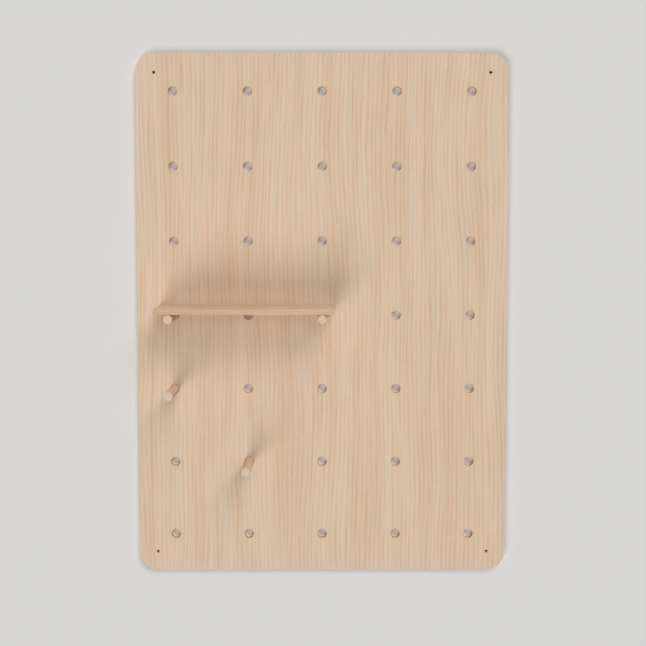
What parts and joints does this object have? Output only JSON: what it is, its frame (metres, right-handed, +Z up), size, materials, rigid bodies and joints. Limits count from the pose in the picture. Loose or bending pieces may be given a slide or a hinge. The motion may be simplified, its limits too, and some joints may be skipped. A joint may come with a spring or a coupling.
{
  "type": "wall pegboard with shelf",
  "caption": "Wall-hung plywood pegboard drilled with a grid of peg holes, with loose dowel pegs and a small shelf resting on two of them.",
  "frame": {"origin": "middle of the board's back face, on the axis of the middle peg hole", "axes": "+X to the right as seen from the front, +Y out of the back into the wall, +Z up"},
  "size_m": [0.5, 0.091, 0.7],
  "materials": {
    "board_ply": "fine straight vertical grain, matt clear oil, plies showing at the edges and in the holes",
    "shelf_wood": "straight grain along the length, matt clear oil",
    "peg_dowel": "turned dowel, grain along its length, paler sanded end grain"
  },
  "bodies": {
    "board": {"board": "board_ply"},
    "shelf": {"shelf": "shelf_wood"},
    "peg_shelf_left": {"peg_shelf_left": "peg_dowel"},
    "peg_shelf_right": {"peg_shelf_right": "peg_dowel"},
    "peg_middle": {"peg_middle": "peg_dowel"},
    "peg_lower": {"peg_lower": "peg_dowel"}
  },
  "joints": [
    {"name": "shelf_lift", "type": "slide", "parent": "board", "child": "shelf", "axis": [0, 0, 1], "range_m": [0, 0.06]},
    {"name": "peg_shelf_left_pull", "type": "slide", "parent": "board", "child": "peg_shelf_left", "axis": [0, -1, 0], "range_m": [0, 0.02]},
    {"name": "peg_shelf_right_pull", "type": "slide", "parent": "board", "child": "peg_shelf_right", "axis": [0, -1, 0], "range_m": [0, 0.02]},
    {"name": "peg_middle_pull", "type": "slide", "parent": "board", "child": "peg_middle", "axis": [0, -1, 0], "range_m": [0, 0.02]},
    {"name": "peg_lower_pull", "type": "slide", "parent": "board", "child": "peg_lower", "axis": [0, -1, 0], "range_m": [0, 0.02]}
  ]
}
